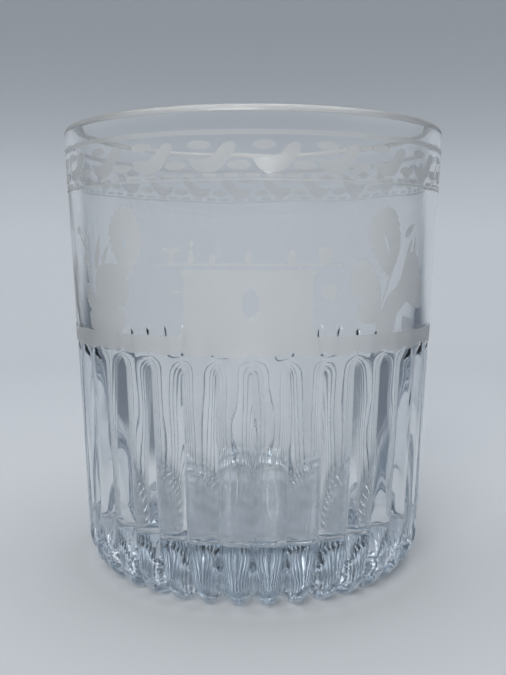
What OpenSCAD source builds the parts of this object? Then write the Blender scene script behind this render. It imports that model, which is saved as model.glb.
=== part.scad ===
// Whiskey tumbler with a ribbed, knob-footed lower half and an etched upper half.
// Millimetres, +Z up, origin at the centre of the flat underside.
// The tumbler faces -Y: the etched pedestal is at angle 0, and angles grow towards +X.

/* [Body] */
// Height from the table to the top of the rim
glass_h = 95; // [93:0.5:100]
// Outside radius at the top of the wall, under the rim
rim_r = 41; // [40:0.1:43]
// Outside radius over the rib crests, at the top of the foot knobs
foot_r = 37.5; // [36.5:0.1:38.5]
// Wall thickness at the rim
rim_wall = 2.3; // [2:0.1:3]
// Height of the rounded rim lip
lip_h = 2.5; // [2:0.1:4]

/* [Base] */
// Height of the solid glass floor inside
floor_z = 12.5; // [10:0.5:16]
// Radius of the flat underside
seat_r = 28; // [24:0.5:29]
// Inside radius where the wall meets the floor
well_r = 32.6; // [30:0.1:33]
// How much thicker the wall is at the top of the ribs than at the rim
wall_taper = 0.9; // [0.4:0.1:1.2]

/* [Ribs and knobs] */
// Number of ribs around the lower half
rib_count = 36; // [30:2:40]
// Height at which the ribs end under the etched band
rib_top = 50.3; // [46:0.1:54]
// Radius of a rib's rounded face near the foot
rib_round_low = 4.6; // [4.2:0.1:5.5]
// Radius of a rib's rounded face at its top
rib_round_top = 9; // [8:0.5:12]
// How deep the ribs' stock reaches behind their crests at the foot
rib_stock = 2.2; // [2:0.1:2.6]
// Height of the foot knobs
knob_h = 9; // [7:0.5:10]
// Radius of a knob's rounded end
knob_r = 5.2; // [4.6:0.1:6]

/* [Etched decoration] */
// Depth of the etched skin that stands for a satin surface
skin_t = 0.2; // [0.1:0.05:0.4]
// Height of the satin band over the ribs
band_h = 3.5; // [2:0.1:5]
// Distance from the rim's top down to the foot of the frieze
frieze_drop = 13.3; // [13:0.1:14]
// Height of the rim frieze
frieze_h = 8.8; // [8.6:0.1:9.2]
// Number of twists in the rim frieze
twist_count = 22; // [18:1:26]
// Number of dashes along the frieze's foot
dash_count = 66; // [48:2:80]
// Angle from the front to the middle of each flower spray
spray_angle = 44; // [40:1:60]
// Width of the etched pedestal
pedestal_w = 24; // [16:0.5:26]
// Height of the etched pedestal over the band
pedestal_h = 12.2; // [8:0.1:14]

/* [Hidden] */
$fn = 96;

clear_glass = "lightsteelblue";
satin_glass = "whitesmoke";
wall_top = glass_h - lip_h;
step_angle = 360 / rib_count;
pedestal_angle = -1.3;
band_end = 7;
pedestal_z = rib_top + band_h;
shelf_z = pedestal_z + pedestal_h;
ornament_z = shelf_z + 1.2;
frieze_z = glass_h - frieze_drop;
frieze_angle = -3.4;
left_bloom_angle = -36.8;
right_bloom_angle = 38.6;
bloom_z = 71.1;
stem_w = 0.55;
big = 60;

// Outside radius of the wall at height z, over the rib crests
function outer_r(z) = foot_r + (rim_r - foot_r) * (z - knob_h) / (wall_top - knob_h);
// Inside radius of the wall at height z
function inner_r(z) = z < rib_top
    ? well_r + (inner_r(rib_top) - well_r) * (z - floor_z) / (rib_top - floor_z)
    : outer_r(z) - rim_wall - wall_taper * (wall_top - z) / (wall_top - rib_top);
// Points of an arc about [x, y], from angle a to angle b
function arc(x, y, r, a, b, n = 8) =
    [for (i = [0:n]) [x + r * cos(a + (b - a) * i / n), y + r * sin(a + (b - a) * i / n)]];
// Points of an ellipse about [x, y]
function ellipse(x, y, rx, ry, n = 20) =
    [for (i = [0:n - 1]) [x + rx * cos(360 * i / n), y + ry * sin(360 * i / n)]];
// Points of a closed outline with every corner cut off
function round_off(p) =
    [for (i = [0:len(p) - 1], t = [0.25, 0.75]) p[i] * (1 - t) + p[(i + 1) % len(p)] * t];
// Points of a leaf that starts at [x, y], points along angle a and bows out to both sides
function leaf(x, y, len, wide, a, n = 7) =
    let (c = cos(a), s = sin(a))
    [for (i = [0:2 * n - 1])
        let (t = (i <= n ? i : 2 * n - i) / n,
             side = i <= n ? 1 : -1,
             along = len * t,
             off = side * wide / 2 * sin(180 * pow(t, 0.8)))
        [x + along * c - off * s, y + along * s + off * c]];

// ---- Clear glass ----

// One sector of the ribbed ring between heights low and high
module sector(low, high) {
    a = step_angle / 2;
    translate([0, 0, low])
        linear_extrude(high - low)
            polygon([[seat_r * cos(a), -seat_r * sin(a)], [big * cos(a), -big * sin(a)],
                     [big * cos(a), big * sin(a)], [seat_r * cos(a), seat_r * sin(a)]]);
}

// Places one copy at the middle of every rib
module around() {
    for (i = [0:rib_count - 1])
        rotate([0, 0, -90 + step_angle * (i + 0.5)])
            children();
}

module base_disc() {
    color(clear_glass)
        rotate_extrude()
            polygon([[0, 0], [seat_r, 0], [seat_r, knob_h], [inner_r(knob_h), knob_h],
                     [well_r, floor_z], [0, floor_z]]);
}

// A knob is a rib's rounded end: an upright stub with a ball-shaped foot
module knob() {
    rotate_extrude($fn = 48)
        polygon(concat([[0, 0]], arc(0, knob_r, knob_r, -80, 0, 6), [[knob_r, knob_h], [0, knob_h]]));
}

module foot_knobs() {
    color(clear_glass)
        difference() {
            around()
                intersection() {
                    translate([foot_r - knob_r, 0, 0])
                        knob();
                    sector(0, knob_h);
                }
            translate([0, 0, -1])
                cylinder(h = knob_h + 2, r = seat_r);
        }
}

// A rib's rounded face is a slim cone whose crest keeps to the outside of the wall
module rib() {
    low_axis = outer_r(knob_h) - rib_round_low;
    top_axis = outer_r(rib_top) - rib_round_top;
    rise = rib_top - knob_h;
    lean = atan((top_axis - low_axis) / rise);
    spare = 2;
    grow = (rib_round_top - rib_round_low) / rise;
    intersection() {
        translate([low_axis, 0, knob_h])
            rotate([0, lean, 0])
                translate([0, 0, -spare])
                    cylinder(h = rise + 2 * spare, r1 = rib_round_low - grow * spare,
                             r2 = rib_round_top + grow * spare);
        sector(knob_h, rib_top);
    }
}

// Radius of the plain wall behind the ribs
function core_r(z) = outer_r(z) - rib_stock + (z - knob_h) / (rib_top - knob_h);

module ribs() {
    low = knob_h - 1;
    high = rib_top + 1;
    color(clear_glass)
        difference() {
            around()
                rib();
            rotate_extrude()
                polygon([[0, low], [core_r(low), low], [core_r(high), high], [0, high]]);
        }
}

module lower_wall() {
    color(clear_glass)
        rotate_extrude()
            polygon([[inner_r(knob_h), knob_h], [core_r(knob_h), knob_h],
                     [core_r(rib_top), rib_top], [inner_r(rib_top), rib_top],
                     [well_r, floor_z]]);
}

module upper_wall() {
    color(clear_glass)
        rotate_extrude()
            polygon([[inner_r(rib_top), rib_top], [outer_r(rib_top), rib_top],
                     [outer_r(wall_top), wall_top], [inner_r(wall_top), wall_top]]);
}

module rim_lip() {
    round_r = rim_wall / 2;
    mid = outer_r(wall_top) - round_r;
    color(clear_glass)
        rotate_extrude()
            polygon(concat([[inner_r(wall_top), wall_top], [outer_r(wall_top), wall_top]],
                           arc(mid + 0.2, glass_h - round_r, round_r, 0, 90, 6),
                           arc(mid - 0.05, glass_h - round_r, round_r, 90, 180, 6)));
}

// ---- Etched decoration ----

// The thin conical skin on the outside of the wall between two heights
module skin(low, high) {
    rotate_extrude()
        polygon([[outer_r(low), low], [outer_r(low) + skin_t, low],
                 [outer_r(high) + skin_t, high], [outer_r(high), high]]);
}

// Wraps a flat drawing, [across, height], on to the wall at an angle from the front
module on_wall(angle) {
    intersection() {
        skin(rib_top, wall_top);
        rotate([0, 0, angle])
            rotate([90, 0, 0])
                linear_extrude(big)
                    children();
    }
}

// The ground line of the etched scene, from just behind one side of the front to the other
module satin_band() {
    color(satin_glass)
        intersection() {
            skin(rib_top, pedestal_z);
            translate([-big, -big, rib_top - 1])
                cube([2 * big, big + band_end, band_h + 2]);
        }
}

module frieze_top_line() {
    line_h = 0.9;
    color(satin_glass)
        skin(frieze_z + frieze_h - line_h, frieze_z + frieze_h);
}

module frieze_foot_line() {
    line_h = 0.4;
    color(satin_glass)
        skin(frieze_z, frieze_z + line_h);
}

// Broad ribbons: each slants up to the right from a low foot that reaches to the left
module frieze_ribbons() {
    before = 5.2;
    foot = frieze_z + 1.4;
    color(satin_glass)
        for (i = [0:twist_count - 1])
            on_wall(frieze_angle + 360 * i / twist_count)
                translate([-before, foot])
                    polygon([[1.6, 0], [3.8, 3], [4.8, 4.6], [4, 5.5], [2.3, 5.1], [0.6, 2.9],
                             [-1, 2.3], [-3.2, 2.4], [-4.4, 2.8], [-2.6, 0]]);
}

// One low oval in each window between ribbons, and one high oval beside it
module frieze_ovals() {
    across = 2.15;
    up = 0.8;
    shift = 4.4;
    color(satin_glass)
        for (i = [0:twist_count - 1])
            on_wall(frieze_angle + 360 * i / twist_count) {
                polygon(ellipse(0, frieze_z + 2.7, across, up));
                polygon(ellipse(shift, frieze_z + 6.2, across, up));
            }
}

module frieze_dashes() {
    dash_w = 2.5;
    dash_h = 0.7;
    gap = 0.6;
    color(satin_glass)
        for (i = [0:dash_count - 1])
            on_wall(360 * i / dash_count)
                translate([-dash_w / 2, frieze_z + gap])
                    square([dash_w, dash_h]);
}

// A stepped block with an oval window
module pedestal_panel() {
    step = 0.8;
    color(satin_glass)
        on_wall(pedestal_angle)
            difference() {
                polygon([[-pedestal_w / 2 - step, pedestal_z], [pedestal_w / 2 + step, pedestal_z],
                         [pedestal_w / 2, pedestal_z + 2], [pedestal_w / 2, shelf_z],
                         [-pedestal_w / 2, shelf_z], [-pedestal_w / 2, pedestal_z + 2]]);
                polygon(ellipse(0.4, pedestal_z + 6.2, 1.7, 2.8));
            }
}

module pedestal_shelf() {
    shelf_w = pedestal_w + 11.4;
    shelf_h = 0.5;
    color(satin_glass)
        on_wall(pedestal_angle)
            translate([-shelf_w / 2, ornament_z - shelf_h])
                square([shelf_w, shelf_h]);
}

// One small vessel standing on the shelf with its middle at x
module vessel(x, outline) {
    translate([x, ornament_z])
        polygon(round_off(outline));
}

// A footed dish, a candle, two little bottles, a cone and a round pot
module shelf_ornaments() {
    flame_z = ornament_z + 2.8;
    color(satin_glass)
        on_wall(pedestal_angle) {
            vessel(-14.3, [[-1, 0], [1, 0], [0.4, 0.7], [0.5, 1.5], [2, 2.1], [1.8, 2.8],
                           [-1.8, 2.8], [-2, 2.1], [-0.5, 1.5], [-0.4, 0.7]]);
            vessel(-10.3, [[-0.7, 0], [0.7, 0], [0.5, 2.5], [-0.5, 2.5]]);
            polygon(leaf(-10.3, flame_z, 1.4, 1, 90));
            vessel(-6.4, [[-0.6, 0], [0.6, 0], [0.6, 1.1], [0.2, 1.8], [-0.2, 1.8], [-0.6, 1.1]]);
            vessel(0.1, [[-0.7, 0], [0.7, 0], [0.7, 1.4], [0.2, 2.3], [-0.2, 2.3], [-0.7, 1.4]]);
            vessel(7.9, [[-1.5, 0], [1.5, 0], [0.4, 2.6], [-0.4, 2.6]]);
            vessel(14.2, [[-0.9, 0], [0.9, 0], [1.6, 1], [1.5, 2.1], [0.9, 2.8], [-0.9, 2.8],
                          [-1.5, 2.1], [-1.6, 1]]);
        }
}

// Two small marks beside the pedestal
module field_marks() {
    mark_z = 62;
    color(satin_glass) {
        on_wall(20.4)
            polygon(ellipse(0, mark_z, 1.6, 1.6, 6));
        on_wall(-20.9)
            polygon(ellipse(0, mark_z, 0.8, 0.4, 12));
    }
}

// An egg-shaped bloom with a narrow slit, drawn about its own middle
module bloom(slit_angle) {
    difference() {
        polygon(round_off([[0, 6.7], [-2.7, 5.7], [-4.3, 3.1], [-4.4, 0.3], [-2.9, -2.8],
                           [-0.8, -5.5], [0.4, -6.8], [1.7, -5.9], [3.4, -3.3], [4.4, 0.4],
                           [3.8, 4], [2.1, 6.2]]));
        rotate([0, 0, slit_angle])
            polygon(leaf(-2, 0, 4, 0.9, 0));
    }
}

module flower(angle, slit_angle) {
    color(satin_glass)
        on_wall(angle)
            translate([0, bloom_z])
                bloom(slit_angle);
}

// Leaves, stem and buds of the left spray, across from its middle
module left_spray() {
    polygon(round_off([[-4, 66.4], [-0.4, 67.2], [3.8, 66.9], [5.3, 64.4], [5.9, 61.4],
                       [4.5, 58.9], [-2.4, 58.2], [-4.7, 59.8], [-4.9, 62.9]]));
    polygon(round_off([[-7.6, 54.8], [-7.8, 57.2], [-6, 58.9], [-3.4, 59.3], [1.7, 59.6],
                       [4.4, 57.9], [4.5, 55.6], [3.8, pedestal_z], [-6.6, pedestal_z]]));
    polygon(leaf(-4.6, 57.4, 8, 3.6, 128));
    polygon(leaf(-4.5, 65.4, 7.6, 1.7, 75));
    polygon(leaf(-2.2, 66.2, 5.4, 1.2, 62));
    polygon(leaf(-6.8, 59, 20.6, stem_w, 95));
    polygon(leaf(-7, 64.5, 8.4, 1.4, 102));
    polygon(leaf(-8.4, 69.4, 4.8, stem_w, 131));
    polygon(ellipse(-11.7, 73.5, 1.2, 0.9));
    polygon(ellipse(-8.8, 67.8, 1, 0.9));
}

// Leaves, stem and bud of the right spray, across from its middle
module right_spray() {
    polygon(round_off([[-9.4, 67.9], [-11.5, 66.6], [-12.1, 64.3], [-11.8, 61],
                       [-8.9, 60.6], [-7, 59.8], [-5.9, 57], [-5.2, 55], [-4.4, 58],
                       [-4.4, 61.2], [-5.5, 65], [-7.4, 67.4]]));
    polygon(round_off([[-10.4, 58.9], [-10.3, 56.7], [-8, 55.6], [-5.6, 55.9], [-5.2, 58.1],
                       [-6.9, 60.2], [-9.1, 60.4]]));
    polygon(round_off([[-6, pedestal_z], [-5, 57.4], [-2.2, 61.4], [1.2, 63.4],
                       [2.4, 68.2], [4.4, 69.4], [6.7, 69], [9.2, 65.2], [10.3, 61],
                       [10.1, 57.8], [6.4, 58.3], [3.2, 59.8], [1.5, 58.2], [0.2, 57.4],
                       [-0.3, 55], [-0.6, pedestal_z]]));
    polygon(leaf(-5.3, pedestal_z, 6, 0.9, 94));
    polygon(leaf(-4.7, 58.4, 15.2, stem_w, 64.5));
    polygon(leaf(2.1, 72, 4.6, 1.6, 38));
    polygon(leaf(3, 68, 4.8, 0.9, 60));
    polygon(leaf(5.6, 68, 4.4, 0.9, 82));
}

module left_flower() {
    flower(left_bloom_angle, 90);
}

module left_leaves() {
    color(satin_glass)
        on_wall(-spray_angle)
            left_spray();
}

module right_flower() {
    flower(right_bloom_angle, 112);
}

module right_leaves() {
    color(satin_glass)
        on_wall(spray_angle)
            right_spray();
}

base_disc();
foot_knobs();
ribs();
lower_wall();
upper_wall();
rim_lip();
satin_band();
frieze_top_line();
frieze_foot_line();
frieze_ribbons();
frieze_ovals();
frieze_dashes();
pedestal_panel();
pedestal_shelf();
shelf_ornaments();
field_marks();
left_flower();
left_leaves();
right_flower();
right_leaves();
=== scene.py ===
"""A clear glass tumbler: ribbed below, plain and satin etched above, in a pale sweep."""

import math

import bpy
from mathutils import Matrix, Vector, geometry


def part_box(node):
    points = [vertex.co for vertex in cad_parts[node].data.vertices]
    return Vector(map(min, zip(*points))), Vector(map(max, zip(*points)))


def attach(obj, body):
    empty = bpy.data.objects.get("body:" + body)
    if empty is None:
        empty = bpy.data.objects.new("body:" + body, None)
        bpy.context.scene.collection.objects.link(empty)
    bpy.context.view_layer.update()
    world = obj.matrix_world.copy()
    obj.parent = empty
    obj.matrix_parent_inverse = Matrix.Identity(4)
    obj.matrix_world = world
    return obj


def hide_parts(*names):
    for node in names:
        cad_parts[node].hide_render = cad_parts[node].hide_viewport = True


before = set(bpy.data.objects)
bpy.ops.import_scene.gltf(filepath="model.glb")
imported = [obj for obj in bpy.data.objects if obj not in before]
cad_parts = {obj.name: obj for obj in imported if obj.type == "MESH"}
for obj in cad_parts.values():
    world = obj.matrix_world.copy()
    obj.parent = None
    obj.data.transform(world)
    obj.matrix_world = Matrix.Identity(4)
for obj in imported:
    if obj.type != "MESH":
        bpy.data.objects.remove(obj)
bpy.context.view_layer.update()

MM = 0.001

# ---- Sizes, from the frame ----

LIP_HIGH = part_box("rim_lip")[1]
WALL_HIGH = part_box("upper_wall")[1]
BAND_LOW, BAND_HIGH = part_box("satin_band")
KNOB_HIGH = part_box("foot_knobs")[1]
DISC_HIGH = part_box("base_disc")[1]
FRIEZE_LOW, FRIEZE_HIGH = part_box("frieze_foot_line")[0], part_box("frieze_top_line")[1]
PANEL_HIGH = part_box("pedestal_panel")[1]
SHELF_LOW, SHELF_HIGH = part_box("pedestal_shelf")

TOP_Z = LIP_HIGH[2]
LIP_Z = WALL_HIGH[2]
LIP_R = LIP_HIGH[0]
RIM_R = WALL_HIGH[0]
BAND_Z, BAND_TOP = BAND_LOW[2], BAND_HIGH[2]
KNOB_Z = KNOB_HIGH[2]
FOOT_R = KNOB_HIGH[0] + 0.1 * MM    # the box ends short of the crests, 5 degrees off the X axis
FLOOR_Z = DISC_HIGH[2]
WELL_R = DISC_HIGH[0]
FRIEZE_Z, FRIEZE_TOP = FRIEZE_LOW[2], FRIEZE_HIGH[2]
SHELF_Z = SHELF_LOW[2]

RIBS = 36
SEAT_R = 27 * MM            # the underside is flat out to here
SEAT_Z = 0.02 * MM          # and stays this far inside the frame's box
ROUND_R = 7.5 * MM          # how far a knob's end turns in
ROUND_H = 8.0 * MM          # and how high its round end reaches
KNOB_TOP = 10.5 * MM        # the ribs begin to round out into knobs at this height
KNOB_FADE = 3 * MM          # and are fully round this much lower
RIM_WALL = 2.3 * MM         # thickness of the wall under the lip
BAND_WALL = 3.2 * MM        # and at the satin band
WALL_BULGE = 0.3 * MM       # how far the cup swells out half way down the ribs
CORNER_R = 3.2 * MM         # round corner between the cup's wall and its floor
DOME_H = 0.35 * MM          # rise of the cup's floor in the middle
DOME_R = 29                 # where the rise ends, in millimetres from the middle
FLOOR_RIPPLE = 0.14 * MM    # height of the ripple on it
LIP_DROP = 1.3 * MM         # from the top down to the middle of the lip's round
LIP_RISE = 1.2 * MM         # height of the round
LIP_INSET = 0.11 * MM       # keeps the lip inside the frame's box
LIP_TRIM = 0.03 * MM        # the round is this much less than half the wall's thickness
CALM_R = 20 * MM            # the glass is fully uneven outside this radius
CALM_Z = 12 * MM            # and, on the outside, above this height

# ---- Mesh steps ----

RIB_STEPS = 20              # columns to a rib
FLAT_RADII = (0.6, *range(3, 28, 3))            # rows on the flat faces, in millimetres
KNOB_RADII = (27.6, 28.2, 28.8, 29.4)           # rows where the knobs begin under the foot
ROUND_STEPS = 14
RIB_ROWS = 38
ROW_CROWDING = 0.85         # below 1 these rows are closer together near the band
COLUMN_CROWDING = 1.35      # above 1 the columns are closer together at the grooves
WALL_ROWS = 10
WALL_STOP = 0.6 * MM        # the rows outside stop this far below the lip
CUP_START = 0.4 * MM        # and those inside start this far below it
INSIDE_ROWS = 24
CORNER_STEPS = 7
LIP_STEPS = 14


def mix(a, b, t):
    return a + (b - a) * t


def smooth(t):
    t = min(max(t, 0.0), 1.0)
    return t * t * (3 - 2 * t)


def outer_r(z):
    """Outside radius over the rib crests."""
    return mix(FOOT_R, RIM_R, (z - KNOB_Z) / (LIP_Z - KNOB_Z))


def inner_r(z):
    """Inside radius of the cup."""
    if z > BAND_Z:
        t = (LIP_Z - z) / (LIP_Z - BAND_Z)
        return outer_r(z) - mix(RIM_WALL, BAND_WALL, t)
    t = (z - FLOOR_Z) / (BAND_Z - FLOOR_Z)
    return mix(WELL_R, outer_r(BAND_Z) - BAND_WALL, t) + WALL_BULGE * math.sin(math.pi * t)


# ---- Mesh helpers ----

def net(rows, columns, closed=True):
    """Four-sided faces between rows of points, joined round if closed."""
    count = columns if closed else columns + 1
    faces = []
    for j in range(rows):
        for c in range(columns):
            d = (c + 1) % count
            faces.append((j * count + c, j * count + d, (j + 1) * count + d, (j + 1) * count + c))
    return faces


def add_mesh(name, points, faces, material):
    """A smooth-shaded piece of the tumbler from a list of points and faces."""
    mesh = bpy.data.meshes.new(name)
    mesh.from_pydata([tuple(p) for p in points], [], faces)
    mesh.validate()
    mesh.polygons.foreach_set("use_smooth", [True] * len(mesh.polygons))
    mesh.materials.append(material)
    piece = bpy.data.objects.new(name, mesh)
    bpy.context.scene.collection.objects.link(piece)
    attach(piece, "root")
    return piece


def on_wall(across, z, lift):
    """The point on the wall that is `across` metres round from the front, at height z."""
    angle = across / outer_r(z)
    r = outer_r(z) + lift
    return r * math.sin(angle), -r * math.cos(angle), z


# ---- Materials ----

WAVES = (70, 0.2, 0.2 * MM)                     # each bump's noise scale, strength and depth
LUMPS = (330, 0.6, 0.3 * MM)
GRAIN = (2200, 1.0, 0.05 * MM)
FROST = (2600, 0.2, 0.02 * MM)
LUMPS_Z = (6 * MM, 9.5 * MM)                    # the lumps fade out between these heights
LUMPS_R = (SEAT_R, SEAT_R + 4 * MM)             # and fade in between these distances from the origin
GRAIN_Z = (0.3 * MM, 1.2 * MM)                  # the foot's grain fades out between these heights


def new_material(name):
    """A material with its nodes, its links and its shader."""
    material = bpy.data.materials.new(name)
    material.use_nodes = True
    nodes, links = material.node_tree.nodes, material.node_tree.links
    return material, nodes, links, nodes["Principled BSDF"]


def position(nodes, links):
    """The point in the object's own space, its parts X, Y and Z, and its distance from the origin."""
    place = nodes.new("ShaderNodeTexCoord")
    split = nodes.new("ShaderNodeSeparateXYZ")
    away = nodes.new("ShaderNodeVectorMath")
    away.operation = "LENGTH"
    point = place.outputs["Object"]
    links.new(point, split.inputs["Vector"])
    links.new(point, away.inputs[0])
    return point, split.outputs, away.outputs["Value"]


def noise_bump(nodes, links, shader, scale, strength, distance, stretch=(1, 1, 1)):
    """A soft bump from noise in the object's own space. Gives back the bump node."""
    place = nodes.new("ShaderNodeTexCoord")
    squeeze = nodes.new("ShaderNodeMapping")
    squeeze.inputs["Scale"].default_value = stretch
    noise = nodes.new("ShaderNodeTexNoise")
    noise.inputs["Scale"].default_value = scale
    noise.inputs["Detail"].default_value = 3
    bump = nodes.new("ShaderNodeBump")
    bump.inputs["Strength"].default_value = strength
    bump.inputs["Distance"].default_value = distance
    links.new(place.outputs["Object"], squeeze.inputs["Vector"])
    links.new(squeeze.outputs["Vector"], noise.inputs["Vector"])
    links.new(noise.outputs["Fac"], bump.inputs["Height"])
    links.new(bump.outputs["Normal"], shader.inputs["Normal"])
    return bump


def soft_step(nodes, links, value, start, end, first, last):
    """A smooth change from first to last as the value goes from start to end."""
    step = nodes.new("ShaderNodeMapRange")
    step.interpolation_type = "SMOOTHSTEP"
    links.new(value, step.inputs["Value"])
    for name, number in (("From Min", start), ("From Max", end), ("To Min", first), ("To Max", last)):
        step.inputs[name].default_value = number
    return step.outputs["Result"]


def maths(nodes, links, operation, first, second=None):
    """A maths node on one or two values."""
    node = nodes.new("ShaderNodeMath")
    node.operation = operation
    links.new(first, node.inputs[0])
    if second is not None:
        links.new(second, node.inputs[1])
    return node.outputs[0]


def masked_bump(nodes, links, shader, mask, scale, strength, distance):
    """A noise bump that only shows where the mask is above 0."""
    bump = noise_bump(nodes, links, shader, scale, strength, distance)
    noise = bump.inputs["Height"].links[0].from_socket
    links.new(maths(nodes, links, "MULTIPLY", noise, mask), bump.inputs["Height"])
    return bump


def clear_glass():
    """Glass with a cool tint and slow waves, lumpy in the knobs and ground fine under the foot."""
    material, nodes, links, shader = new_material("clear_glass")
    shader.inputs["Base Color"].default_value = (1.0, 1.0, 1.0, 1)
    shader.inputs["Roughness"].default_value = 0.0
    shader.inputs["IOR"].default_value = 1.51
    shader.inputs["Transmission Weight"].default_value = 1.0
    tint = nodes.new("ShaderNodeVolumeAbsorption")
    tint.inputs["Color"].default_value = (0.50, 0.60, 0.69, 1)
    tint.inputs["Density"].default_value = 18
    links.new(tint.outputs["Volume"], nodes["Material Output"].inputs["Volume"])
    _, parts, away = position(nodes, links)
    waves = noise_bump(nodes, links, shader, *WAVES, stretch=(1, 1, 0.5))
    low = soft_step(nodes, links, parts["Z"], *LUMPS_Z, 1.0, 0.0)
    outer = soft_step(nodes, links, away, *LUMPS_R, 0.0, 1.0)
    knobs = maths(nodes, links, "MULTIPLY", low, outer)
    lumps = masked_bump(nodes, links, shader, knobs, *LUMPS)
    foot = soft_step(nodes, links, parts["Z"], *GRAIN_Z, 1.0, 0.0)
    grain = masked_bump(nodes, links, shader, foot, *GRAIN)
    links.new(waves.outputs["Normal"], lumps.inputs["Normal"])
    links.new(lumps.outputs["Normal"], grain.inputs["Normal"])
    return material


def satin_glass():
    """Etched glass: rough, a little warm and partly see-through."""
    material, nodes, links, shader = new_material("satin_glass")
    shader.inputs["Base Color"].default_value = (1.0, 0.985, 0.955, 1)
    shader.inputs["Roughness"].default_value = 0.3
    shader.inputs["IOR"].default_value = 1.22
    shader.inputs["Transmission Weight"].default_value = 0.8
    shader.inputs["Alpha"].default_value = 0.6
    noise_bump(nodes, links, shader, *FROST)
    return material


CLEAR = clear_glass()
SATIN = satin_glass()


# ---- The glass body ----

def rib_sink(t, z):
    """How far the surface lies below a rib's crest, for t from -1 to 1 across the rib.

    It is a round arch plus a narrow groove towards the rib's edges, with depths in millimetres.
    """
    fall = (BAND_Z - z) / (BAND_Z - KNOB_Z)
    if fall <= 0:
        return 0.0
    knob = smooth((KNOB_TOP - z) / KNOB_FADE)
    arch = (0.16 + 0.26 * min(fall, 1.0)) * smooth(fall / 0.05) + 1.2 * knob
    groove = (0.75 + 0.5 * min(fall, 1.0) ** 2) * smooth(fall / 0.08)
    return (arch * t * t + groove * abs(t) ** 3) * MM


def body_outline():
    """Rows of the body, each (radius, height, share of the rib depth, normal out, normal up)."""
    rows = [(r * MM, SEAT_Z, 0.0, 0.0, -1.0) for r in FLAT_RADII]
    centre_r = FOOT_R - ROUND_R
    for r in KNOB_RADII:
        t = (r * MM - SEAT_R) / (centre_r - SEAT_R)
        rows.append((r * MM, SEAT_Z, smooth(t), 0.0, -1.0))
    for i in range(ROUND_STEPS + 1):
        a = math.pi / 2 * i / ROUND_STEPS
        r = centre_r + ROUND_R * math.sin(a)
        z = SEAT_Z + ROUND_H * (1 - math.cos(a))
        rows.append((r - (FOOT_R - outer_r(z)) * (i / ROUND_STEPS), z, 1.0, math.sin(a), -math.cos(a)))
    for i in range(1, RIB_ROWS + 1):
        z = mix(ROUND_H + SEAT_Z, BAND_Z, (i / RIB_ROWS) ** ROW_CROWDING)
        rows.append((outer_r(z), z, 1.0, 1.0, 0.0))
    for i in range(1, WALL_ROWS + 1):
        z = mix(BAND_Z, LIP_Z - WALL_STOP, i / WALL_ROWS)
        rows.append((outer_r(z), z, 0.0, 1.0, 0.0))
    rows += [(r, z, 0.0, math.cos(a), math.sin(a)) for r, z, a in lip_outline(0)]
    for i in range(1, INSIDE_ROWS + 1):
        z = mix(LIP_Z - CUP_START, FLOOR_Z + CORNER_R, i / INSIDE_ROWS)
        rows.append((inner_r(z), z, 0.0, -1.0, 0.0))
    start_r = inner_r(FLOOR_Z + CORNER_R)
    for i in range(1, CORNER_STEPS + 1):
        a = math.pi / 2 * i / CORNER_STEPS
        r, z = start_r - CORNER_R * (1 - math.cos(a)), FLOOR_Z + CORNER_R * (1 - math.sin(a))
        rows.append((r, z, 0.0, -1.0, 0.0))
    for r in reversed(FLAT_RADII):
        rows.append((r * MM, FLOOR_Z + DOME_H * (1 - (r / DOME_R) ** 2), 0.0, 0.0, 1.0))
    return rows


def uneven(x, y):
    """The slow ripple of the cup's floor, from 0 to 1."""
    waves = (math.sin(x / (1.5 * MM) + 0.8 * math.sin(y / (2.1 * MM)))
             + math.sin(y / (1.3 * MM) + x / (3 * MM)) + math.sin((x - y) / (1.9 * MM)))
    return (waves + 3) / 6


def hand_made(angle, z, outside):
    """The slight unevenness of old blown glass, in metres. The outside only goes inwards."""
    if outside:
        slow = 0.035 * math.sin(2 * angle + 0.7) + 0.02 * math.sin(5 * angle + z / (14 * MM))
        return slow * MM - 0.055 * MM
    slow = 0.10 * math.sin(2 * angle + z / (30 * MM)) + 0.06 * math.sin(3 * angle - z / (17 * MM))
    low = smooth((BAND_Z - z) / (12 * MM))
    fine = (0.05 * math.sin(9 * angle + z / (4.5 * MM)) + 0.035 * math.sin(14 * angle - z / (3.1 * MM) + 1)
            + 0.035 * math.sin(z / (2.6 * MM) + 3 * math.sin(4 * angle)))
    return (slow + fine * (0.25 + 1.7 * low)) * MM


def on_outside(r, z):
    """Whether a row belongs to the outside, rather than to the cup."""
    return z < FLOOR_Z - MM or r > (outer_r(z) + inner_r(z)) / 2


def lip_outline(lift):
    """The round of the lip from its outside over to its inside, raised off the glass by `lift`."""
    half = RIM_WALL / 2 - LIP_TRIM
    middle = LIP_R - LIP_INSET - RIM_WALL / 2
    rows = []
    for i in range(LIP_STEPS + 1):
        a = math.pi * i / LIP_STEPS
        r, z = middle + (half + lift) * math.cos(a), TOP_Z - LIP_DROP + (LIP_RISE + lift) * math.sin(a)
        rows.append((r, z, a))
    return rows


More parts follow.
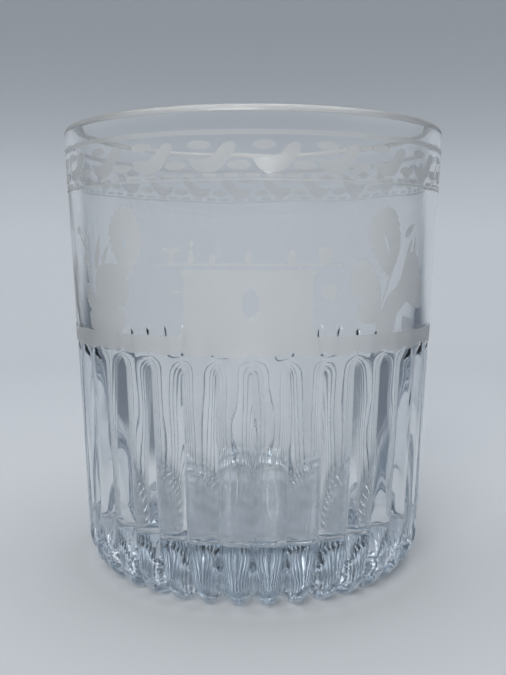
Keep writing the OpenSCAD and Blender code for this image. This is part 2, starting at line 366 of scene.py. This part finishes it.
def glass_body():
    """The whole clear glass as one closed mesh, in rings from the underside over the lip to the floor."""
    rows = body_outline()
    columns = RIBS * RIB_STEPS
    points = []
    for r, z, depth, out, up in rows:
        outside = on_outside(r, z)
        wobble = min(r / CALM_R, 1.0) * (min(z / CALM_Z, 1.0) if outside else 1.0)
        for c in range(columns):
            part = 2 * (c % RIB_STEPS) / RIB_STEPS - 1
            t = math.copysign(1 - (1 - abs(part)) ** COLUMN_CROWDING, part)
            rib = c // RIB_STEPS
            angle = 2 * math.pi * (rib + (t + 1) / 2) / RIBS
            lean = 0.35 * math.sin(2.4 * rib + z / (9 * MM)) * (1 - t * t) * t
            swell = 0.16 * math.sin(1.7 * rib) + 0.14 * math.sin(z / (5 * MM) + 2.1 * rib)
            sink = depth * rib_sink(t, z) * (1 + lean + swell * (1 - t * t))
            here = r - out * sink + wobble * hand_made(angle, z, outside)
            x, y = here * math.sin(angle), -here * math.cos(angle)
            on_floor = up > 0.9 and z < BAND_Z
            points.append((x, y, z + FLOOR_RIPPLE * uneven(y, x) if on_floor else z - up * sink))
    faces = net(len(rows) - 1, columns)
    faces.append(tuple(range(columns))[::-1])
    last = (len(rows) - 1) * columns
    faces.append(tuple(range(last, last + columns)))
    piece = add_mesh("glass_body", points, faces, CLEAR)
    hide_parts("base_disc", "foot_knobs", "ribs", "lower_wall", "upper_wall", "rim_lip")


# ---- Etched decoration ----

LIFT = 0.012 * MM           # gap between the wall and an etched skin
SKIN = 0.02 * MM            # and the skin's thickness
LIP_LIFTS = (0.045 * MM, 0.02 * MM)             # outside and inside of the skin over the lip
SHARP = math.radians(40)    # edges sharper than this are shaded hard


def inside(x, y, outline):
    """Whether a point lies inside a flat outline."""
    hit = False
    for i in range(len(outline)):
        (x0, y0), (x1, y1) = outline[i - 1], outline[i]
        if (y0 > y) != (y1 > y) and x < x0 + (y - y0) * (x1 - x0) / (y1 - y0):
            hit = not hit
    return hit


def fine(loop, step=0.7):
    """The same outline with its long edges split, so that they follow the wall round."""
    points = []
    for a, b in zip(loop, loop[1:] + loop[:1]):
        parts = max(1, math.ceil(math.dist(a, b) / step))
        points += [(mix(a[0], b[0], i / parts), mix(a[1], b[1], i / parts)) for i in range(parts)]
    return points


def etched(name, outlines, holes, replaces, spacing=1.3):
    """A thin satin skin on the wall from flat outlines, in millimetres round from the front and up."""
    loops = [fine(loop) for loop in list(outlines) + list(holes)]
    flat, edges = [], []
    for loop in loops:
        first = len(flat)
        flat += [Vector(p) for p in loop]
        edges += [(first + i, first + (i + 1) % len(loop)) for i in range(len(loop))]
    for loop in outlines:
        xs, ys = [p[0] for p in loop], [p[1] for p in loop]
        x = min(xs) + spacing / 2
        while x < max(xs):
            y = min(ys) + spacing / 2
            while y < max(ys):
                if inside(x, y, loop):
                    flat.append(Vector((x, y)))
                y += spacing
            x += spacing
    done = geometry.delaunay_2d_cdt(flat, edges, [], 0, 1e-5)
    spots, triangles = done[0], done[2]
    kept = []
    for face in triangles:
        x = sum(spots[i][0] for i in face) / len(face)
        y = sum(spots[i][1] for i in face) / len(face)
        if any(inside(x, y, o) for o in outlines) and not any(inside(x, y, h) for h in holes):
            kept.append(tuple(face))
    skin_from(name, [(p[0] * MM, p[1] * MM) for p in spots], kept, replaces)


def skin_from(name, spots, kept, replaces):
    """Closes a flat net of faces into a thin skin on the wall."""
    used = sorted({i for face in kept for i in face})
    number = {old: new for new, old in enumerate(used)}
    n = len(used)
    points = [on_wall(*spots[i], LIFT + SKIN) for i in used] + [on_wall(*spots[i], LIFT) for i in used]
    faces, border = [], {}
    for face in kept:
        new = [number[i] for i in face]
        faces.append(tuple(new))
        faces.append(tuple(n + i for i in reversed(new)))
        for a, b in zip(new, new[1:] + new[:1]):
            if border.pop((b, a), None) is None:
                border[a, b] = True
    for a, b in border:
        faces.append((b, a, n + a, n + b))
    piece = add_mesh(name, points, faces, SATIN)
    piece.data.set_sharp_from_angle(angle=SHARP)
    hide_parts(*replaces)


def ring(name, low, high, replaces, columns=720, rows=2, reach=180.0):
    """A satin ring on the wall, out to `reach` degrees each side of the front.

    low and high are heights, or functions of the angle in degrees.
    """
    closed = reach >= 180
    spots = []
    count = columns if closed else columns + 1
    for j in range(rows + 1):
        for c in range(count):
            degrees = reach * (2 * c / columns - 1)
            a = low(degrees) if callable(low) else low
            b = high(degrees) if callable(high) else high
            z = mix(a, b, j / rows)
            spots.append((math.radians(degrees) * outer_r(z), z))
    skin_from(name, spots, net(rows, columns, closed), replaces)


def leaf(x, y, length, wide, degrees, bend=0.0, steps=12, notch=0.0):
    """Outline of a leaf from x, y along an angle, with an optional bend and toothed edge."""
    a = math.radians(degrees)
    outline = []
    for i in range(2 * steps):
        t = (i if i <= steps else 2 * steps - i) / steps
        side = 1 if i <= steps else -1
        tooth = notch * (1 if i % 2 else -1) if 0.12 < t < 0.95 else 0
        off = side * (wide / 2 + tooth) * math.sin(math.pi * t ** 0.8) + bend * math.sin(math.pi * t)
        outline.append((x + length * t * math.cos(a) - off * math.sin(a),
                        y + length * t * math.sin(a) + off * math.cos(a)))
    return outline


def oval(x, y, rx, ry, steps=24):
    """Outline of an oval, or of a shape with a few equal sides."""
    return [(x + rx * math.cos(2 * math.pi * i / steps), y + ry * math.sin(2 * math.pi * i / steps))
            for i in range(steps)]


def moved(outline, x, y):
    return [(x + p[0], y + p[1]) for p in outline]


def mirrored(profile):
    """A closed outline from its right side, drawn from the bottom up about x = 0."""
    left = [(-x, y) for x, y in profile]
    return left[:1] + profile + left[:0:-1]


def arc_at(degrees, z):
    """Millimetres round the wall to an angle, at a height in millimetres."""
    return math.radians(degrees) * outer_r(z * MM) / MM


def rounded(outline, times=2, fringe=0.0):
    """A closed outline with its corners worn round, and an optional fringed edge."""
    for _ in range(times):
        ahead = outline[1:] + outline[:1]
        outline = [(mix(a[0], b[0], t), mix(a[1], b[1], t))
                   for a, b in zip(outline, ahead) for t in (0.25, 0.75)]
    if not fringe:
        return outline
    n = len(outline)
    frayed = []
    for i, (x, y) in enumerate(outline):
        (x0, y0), (x1, y1) = outline[i - 1], outline[(i + 1) % n]
        across, up = y1 - y0, x0 - x1
        size = math.hypot(across, up) or 1
        push = fringe * (1 - 2 * abs(math.sin(0.75 * i))) * (0.6 + 0.4 * math.sin(0.35 * i))
        frayed.append((x + push * across / size, y + push * up / size))
    return frayed


def satin_band():
    """The ground line round the front half, scalloped below where the ribs' tops meet it."""
    def edge(degrees):
        t = 2 * ((degrees * RIBS / 360) % 1) - 1
        wander = 0.12 * math.sin(math.radians(degrees) * 7) + 0.1 * math.sin(math.radians(degrees) * 13)
        return BAND_Z + (0.75 * abs(t) ** 2.2 - 0.1 + wander) * MM
    reach = 90 + math.degrees(math.asin(BAND_HIGH[1] / outer_r(BAND_Z)))
    ring("satin_band", edge, BAND_TOP, ["satin_band"], columns=440, rows=4, reach=reach - 0.5)


def ground_lip():
    """The fine ground surface that runs over the top of the lip, as a thin skin."""
    columns, steps = 360, LIP_STEPS
    points, faces = [], []
    for lift in LIP_LIFTS:
        for r, z, _ in lip_outline(lift):
            for c in range(columns):
                turn = 2 * math.pi * c / columns
                here = r + hand_made(turn, z, on_outside(r, z))
                points.append((here * math.sin(turn), -here * math.cos(turn), z))
    layer = (steps + 1) * columns
    for c in range(columns):
        d = (c + 1) % columns
        for i in range(steps):
            a, b = i * columns, (i + 1) * columns
            faces.append((a + c, a + d, b + d, b + c))
            faces.append((layer + b + c, layer + b + d, layer + a + d, layer + a + c))
        last = steps * columns
        faces.append((c, layer + c, layer + d, d))
        faces.append((last + d, layer + last + d, layer + last + c, last + c))
    piece = add_mesh("ground_lip", points, faces, SATIN)
    piece.data.set_sharp_from_angle(angle=SHARP)


TWISTS = 22                 # frieze ribbons round the wall
DASHES = 66
FRIEZE_ANGLE = -3.4         # angle of one window's middle from the front, in degrees


def round_wall(outline, count, first, z):
    """Copies of a flat drawing at equal steps round the wall."""
    start, turn = arc_at(first, z), arc_at(360, z)
    return [moved(outline, start + turn * i / count, 0) for i in range(-count // 2, count // 2)]


def frieze():
    """Slanted ribbons, each with a low foot to the left, and ovals in and above the windows between."""
    foot = FRIEZE_Z / MM
    ring("frieze_top_line", FRIEZE_TOP - 0.9 * MM, FRIEZE_TOP, ["frieze_top_line"])
    ring("frieze_foot_line", FRIEZE_Z, FRIEZE_Z + 0.4 * MM, ["frieze_foot_line"])
    ribbon = rounded([(-3.6, 1.4), (-1.4, 4.4), (-0.4, 6.0), (-1.2, 6.9), (-2.9, 6.5), (-4.6, 4.3),
                      (-6.2, 3.7), (-8.4, 3.8), (-9.6, 4.2), (-7.8, 1.4)], 2, 0.06)
    ribbon = [(x, y + foot) for x, y in ribbon]
    etched("frieze_ribbons", round_wall(ribbon, TWISTS, FRIEZE_ANGLE, foot + 4), [], ["frieze_ribbons"], 1.0)
    low = oval(0, foot + 2.7, 2.15, 0.8)
    high = oval(4.4, foot + 6.2, 2.15, 0.8)
    etched("frieze_ovals", round_wall(low, TWISTS, FRIEZE_ANGLE, foot + 4)
           + round_wall(high, TWISTS, FRIEZE_ANGLE, foot + 4), [], ["frieze_ovals"])


def dashes():
    """A ring of short dashes just above the frieze's foot line."""
    foot = FRIEZE_Z / MM + 0.6
    dash = [(-1.2, foot + 0.05), (1.15, foot), (1.25, foot + 0.6), (-1.15, foot + 0.7)]
    etched("frieze_dashes", round_wall(dash, DASHES, 0, foot), [], ["frieze_dashes"])


PEDESTAL_ANGLE = -1.3       # angle of the pedestal's middle from the front, in degrees
PANEL_HALF = 12.0           # half widths of the block and its shelf, in millimetres
SHELF_HALF = 17.7
SET_IN = 0.05               # the drawings start this far below the band's top, in millimetres


def pedestal():
    """A block with mouldings and a small oval opening, under a thin shelf."""
    u = arc_at(PEDESTAL_ANGLE, 60)
    z0, z1 = BAND_TOP / MM, PANEL_HIGH[2] / MM
    block = mirrored([(PANEL_HALF + 0.8, z0 - SET_IN), (PANEL_HALF + 0.5, z0 + 1.1), (PANEL_HALF, z0 + 2.0),
                      (PANEL_HALF, z1 - 1.1), (PANEL_HALF + 0.5, z1 - 0.8), (PANEL_HALF + 0.5, z1)])
    etched("pedestal_panel", [moved(block, u, 0)], [oval(u + 0.4, z0 + 6.2, 1.55, 2.75)],
           ["pedestal_panel"])
    shelf = mirrored([(SHELF_HALF, SHELF_Z / MM), (SHELF_HALF, SHELF_HIGH[2] / MM)])
    etched("pedestal_shelf", [moved(shelf, u, 0)], [], ["pedestal_shelf"])


def ornaments():
    """A footed dish, a candle, two little bottles, a cone and a round pot on the shelf."""
    u, z = arc_at(PEDESTAL_ANGLE, 66), SHELF_HIGH[2] / MM
    dish = [(1, 0), (0.4, 0.7), (0.5, 1.5), (2, 2.1), (1.8, 2.8)]
    candle = [(0.7, 0), (0.5, 2.5)]
    vial = [(0.6, 0), (0.6, 1.1), (0.2, 1.8)]
    bottle = [(0.7, 0), (0.7, 1.4), (0.2, 2.3)]
    cone = [(1.5, 0), (0.4, 2.6)]
    pot = [(0.9, 0), (1.6, 1), (1.5, 2.1), (0.9, 2.8)]
    row = [(-14.3, dish), (-10.3, candle), (-6.4, vial), (0.1, bottle), (7.9, cone), (14.2, pot)]
    shapes = [moved(rounded(mirrored(side), 2), u + x, z) for x, side in row]
    shapes.append(leaf(u - 10.3, z + 2.8, 1.4, 1, 90))
    etched("shelf_ornaments", shapes, [], ["shelf_ornaments"], 0.9)


MIDDLE_Z = 62               # the height, in millimetres, where places round the wall are measured
LEAF_ANGLE = 44             # middle of the leaves each side of the front, in degrees


def field_marks():
    """A small hexagon to the right of the pedestal and a small oval to its left."""
    hexagon = oval(arc_at(20.4, MIDDLE_Z), MIDDLE_Z, 1.6, 1.6, 6)
    small = oval(arc_at(-20.9, MIDDLE_Z), MIDDLE_Z, 0.8, 0.4)
    etched("field_marks", [hexagon, small], [], ["field_marks"], 0.8)


BLOOM_Z = 71.1
BLOOM = [(0, 6.7), (-2.7, 5.7), (-4.3, 3.1), (-4.4, 0.3), (-2.9, -2.8), (-0.8, -5.5),
         (0.4, -6.8), (1.7, -5.9), (3.4, -3.3), (4.4, 0.4), (3.8, 4), (2.1, 6.2)]


def flowers():
    """Egg-shaped blooms with a fringed edge and a narrow slit."""
    for side, degrees, slant, lean in (("left", -36.8, 90, 0), ("right", 38.6, 112, 0.9)):
        u, z = arc_at(degrees, 71), BLOOM_Z
        slit = leaf(lean, -2, 4, 0.9, slant)
        etched(side + "_flower", [moved(rounded(BLOOM, 3, 0.5), u, z)], [moved(slit, u, z)],
               [side + "_flower"], 1.1)


def left_leaves():
    """The masses, leaves, stems and buds left of the pedestal."""
    u, foot = arc_at(-LEAF_ANGLE, MIDDLE_Z), BAND_TOP / MM - SET_IN
    shapes = [rounded([(-4, 66.4), (-0.4, 67.2), (3.8, 66.9), (5.3, 64.4), (5.9, 61.4), (4.5, 58.9),
                       (-2.4, 58.2), (-4.7, 59.8), (-4.9, 62.9)], 3, 0.12),
              rounded([(-7.6, 54.8), (-7.8, 57.2), (-6, 58.9), (-3.4, 59.3), (1.7, 59.6), (4.4, 57.9),
                       (4.5, 55.6), (3.8, foot), (-6.6, foot)], 2, 0.1),
              leaf(-4.6, 57.4, 8, 3.6, 128, 0, 14, 0.12), leaf(-4.5, 65.4, 7.6, 1.7, 75, 0.2),
              leaf(-2.2, 66.2, 5.4, 1.2, 62, 0.2), leaf(-6.8, 59, 20.6, 0.6, 95, 0.3),
              leaf(-7, 64.5, 8.4, 1.4, 102, 0.2), leaf(-8.4, 69.4, 4.8, 0.5, 131),
              oval(-11.7, 73.5, 1.2, 0.9), oval(-8.8, 67.8, 1, 0.9)]
    etched("left_leaves", [moved(shape, u, 0) for shape in shapes], [], ["left_leaves"], 1.1)


def right_leaves():
    """The masses, leaves and stems right of the pedestal."""
    u, foot = arc_at(LEAF_ANGLE, MIDDLE_Z), BAND_TOP / MM - SET_IN
    shapes = [rounded([(-9.4, 67.9), (-11.5, 66.6), (-12.1, 64.3), (-11.8, 61), (-8.9, 60.6), (-7, 59.8),
                       (-5.9, 57), (-5.2, 55), (-4.4, 58), (-4.4, 61.2), (-5.5, 65), (-7.4, 67.4)], 3, 0.1),
              rounded([(-10.4, 58.9), (-10.3, 56.7), (-8, 55.6), (-5.6, 55.9), (-5.2, 58.1),
                       (-6.9, 60.2), (-9.1, 60.4)], 3, 0.08),
              rounded([(-6, foot), (-5, 57.4), (-2.2, 61.4), (1.2, 63.4), (2.4, 68.2), (4.4, 69.4),
                       (6.7, 69), (9.2, 65.2), (10.3, 61), (10.1, 57.8), (6.4, 58.3), (3.2, 59.8),
                       (1.5, 58.2), (0.2, 57.4), (-0.3, 55), (-0.6, foot)], 2, 0.1),
              leaf(-5.3, foot, 6, 0.9, 94), leaf(-4.7, 58.4, 15.2, 0.5, 64.5, 0.3),
              leaf(2.1, 72, 4.6, 1.6, 38), leaf(3, 68, 4.8, 0.9, 60, 0.2), leaf(5.6, 68, 4.4, 0.9, 82)]
    etched("right_leaves", [moved(shape, u, 0) for shape in shapes], [], ["right_leaves"], 1.1)


# ---- Stage, light and camera ----

FLAT_R = 0.34               # the sweep's floor is flat out to here, in metres
WALL_R = 0.62               # and its wall stands here
WALL_TOP = 0.62
FLOOR_RINGS = 16
BEND_STEPS = 24
SWEEP_COLUMNS = 96

RAMP_TOP = 0.6
SHADED_GREYS = [(0.0, 0.66, 0.03), (0.088, 0.68, 0.03), (0.14, 0.61, 0.035), (0.172, 0.535, 0.045),
         (0.205, 0.485, 0.05), (0.24, 0.455, 0.055), (0.30, 0.44, 0.055), (0.36, 0.42, 0.055),
         (RAMP_TOP, 0.38, 0.055)]               # height in metres, grey, and how cool it is; darker and cooler higher up, as painted shade
PAINTED_DARK_PATCH = (0.07, 0.095, 0.13, 1)                   # colour of the painted dark patches, painted shade beyond the view's sides
VIEW_SPREAD = 0.31          # the camera's view widens by this much to each side for a metre back

# Soft steps of painted light and shade on the paper: where each starts and ends, in metres, then its share
# of light before and after.
FOOT_SHADE = (0.045, 0.2, 0.93, 1.0)
FOOT_LIGHT = (0.03, 0.04, 0.45, 0.0)
# Painted shade far out to the sides and behind the camera.
END_SHADE = (0.44, 0.56, 1.0, 0.8)
REAR_SHADE = (-0.34, -0.2, 0.8, 1.0)
PAINTED_DARK_PATCH_EDGE = (0.075, 0.125, 1.0, 0.18)
PAINTED_DARK_PATCH_BACK = (0.22, 0.36, 0.0, 1.0)


def sweep_material():
    """Pale paper with painted shade: darker high up, far out and behind the camera, with painted dark
    patches beyond the view's sides, a painted shadow round the foot and painted light under it.
    """
    material, nodes, links, shader = new_material("pale_sweep")
    shader.inputs["Roughness"].default_value = 0.9
    shader.inputs["Specular IOR Level"].default_value = 0.1
    point, parts, away = position(nodes, links)
    high = nodes.new("ShaderNodeMapRange")
    high.inputs["From Max"].default_value = RAMP_TOP
    links.new(parts["Z"], high.inputs["Value"])
    # The ramp paints shade on the sweep: darker higher up.
    ramp = nodes.new("ShaderNodeValToRGB")
    links.new(high.outputs["Result"], ramp.inputs["Fac"])
    for z, _, _ in SHADED_GREYS[1:-1]:
        ramp.color_ramp.elements.new(z / RAMP_TOP)
    for spot, (_, grey, cool) in zip(ramp.color_ramp.elements, SHADED_GREYS):
        spot.color = (grey * (1 - cool), grey, grey * (1 + cool), 1)

    # A soft painted shadow round the foot, and painted light on the paper right under it.
    near = soft_step(nodes, links, away, *FOOT_SHADE)
    under = soft_step(nodes, links, away, *FOOT_LIGHT)
    near = maths(nodes, links, "ADD", near, under)
    lift = nodes.new("ShaderNodeVectorMath")
    lift.operation = "SCALE"
    links.new(ramp.outputs["Color"], lift.inputs[0])
    links.new(near, lift.inputs["Scale"])

    # Painted shade: darker far out, behind the camera, and in painted dark patches from the view's sides
    # outwards, in front of the back.
    side = maths(nodes, links, "ABSOLUTE", parts["X"])
    ends = soft_step(nodes, links, side, *END_SHADE)
    behind = soft_step(nodes, links, parts["Y"], *REAR_SHADE)
    spread = nodes.new("ShaderNodeVectorMath")
    spread.operation = "DOT_PRODUCT"
    spread.inputs[1].default_value = (0, VIEW_SPREAD, 0)
    links.new(point, spread.inputs[0])
    beyond = maths(nodes, links, "SUBTRACT", side, spread.outputs["Value"])
    strip = soft_step(nodes, links, beyond, *PAINTED_DARK_PATCH_EDGE)
    far = soft_step(nodes, links, parts["Y"], *PAINTED_DARK_PATCH_BACK)
    lit = maths(nodes, links, "MULTIPLY", ends, behind)
    lit = maths(nodes, links, "MULTIPLY", lit, maths(nodes, links, "MAXIMUM", strip, far))
    shade = nodes.new("ShaderNodeMix")
    shade.data_type = "RGBA"
    shade.inputs["A"].default_value = PAINTED_DARK_PATCH
    links.new(lit, shade.inputs["Factor"])
    links.new(lift.outputs["Vector"], shade.inputs["B"])
    links.new(shade.outputs["Result"], shader.inputs["Base Color"])
    return material


def sweep():
    """A round floor that curves up into a wall on every side."""
    outline = [(FLAT_R * i / FLOOR_RINGS, 0.0) for i in range(1, FLOOR_RINGS + 1)]
    bend = WALL_R - FLAT_R
    for i in range(1, BEND_STEPS + 1):
        a = math.pi / 2 * i / BEND_STEPS
        outline.append((FLAT_R + bend * math.sin(a), bend * (1 - math.cos(a))))
    outline.append((WALL_R, WALL_TOP))
    points = []
    for r, z in outline:
        for c in range(SWEEP_COLUMNS):
            a = 2 * math.pi * c / SWEEP_COLUMNS
            points.append((r * math.cos(a), r * math.sin(a), z))
    faces = [(b, a, d, c) for a, b, c, d in net(len(outline) - 1, SWEEP_COLUMNS)]
    faces.append(tuple(range(SWEEP_COLUMNS)))
    mesh = bpy.data.meshes.new("sweep")
    mesh.from_pydata(points, [], faces)
    mesh.polygons.foreach_set("use_smooth", [True] * len(mesh.polygons))
    mesh.materials.append(sweep_material())
    floor = bpy.data.objects.new("sweep", mesh)
    bpy.context.scene.collection.objects.link(floor)


def area_light(name, place, aim, size, power, colour):
    """A round light at a place, turned towards a point."""
    lamp = bpy.data.lights.new(name, "AREA")
    lamp.shape = "DISK"
    lamp.size = size
    lamp.energy = power
    lamp.color = colour
    thing = bpy.data.objects.new(name, lamp)
    thing.location = place
    thing.rotation_euler = (Vector(aim) - Vector(place)).to_track_quat("-Z", "Y").to_euler()
    bpy.context.scene.collection.objects.link(thing)


def lights():
    """A wide soft light above, a small one in front for the satin, and a dim room."""
    area_light("overhead", (0, 0.05, 0.85), (0, 0.05, 0), size=1.1, power=5.8, colour=(0.96, 0.98, 1.0))
    area_light("front", (-0.1, -0.5, 0.36), (0, 0, 0.07), size=0.3, power=1.6, colour=(1.0, 0.99, 0.97))
    world = bpy.data.worlds.new("room")
    world.use_nodes = True
    world.node_tree.nodes["Background"].inputs["Color"].default_value = (0.13, 0.15, 0.18, 1)
    world.node_tree.nodes["Background"].inputs["Strength"].default_value = 1.0
    bpy.context.scene.world = world


def camera():
    """Close in front and level with the upper half of the glass, tipped down a little."""
    distance, height, tip = 0.1863, 0.0692, 5.94        # in metres and degrees
    lens = bpy.data.cameras.new("camera")
    lens.lens = 43.77
    lens.sensor_width = 36
    lens.clip_start = 0.005
    thing = bpy.data.objects.new("camera", lens)
    thing.location = (0, -distance, height)
    thing.rotation_euler = (math.radians(90 - tip), 0, 0)
    bpy.context.scene.collection.objects.link(thing)
    bpy.context.scene.camera = thing


def settings():
    scene = bpy.context.scene
    scene.view_settings.view_transform = "Standard"
    scene.cycles.max_bounces = 32
    scene.cycles.transmission_bounces = 32
    scene.cycles.glossy_bounces = 12
    scene.cycles.diffuse_bounces = 4


glass_body()
ground_lip()
satin_band()
frieze()
dashes()
pedestal()
ornaments()
field_marks()
flowers()
left_leaves()
right_leaves()
sweep()
lights()
camera()
settings()
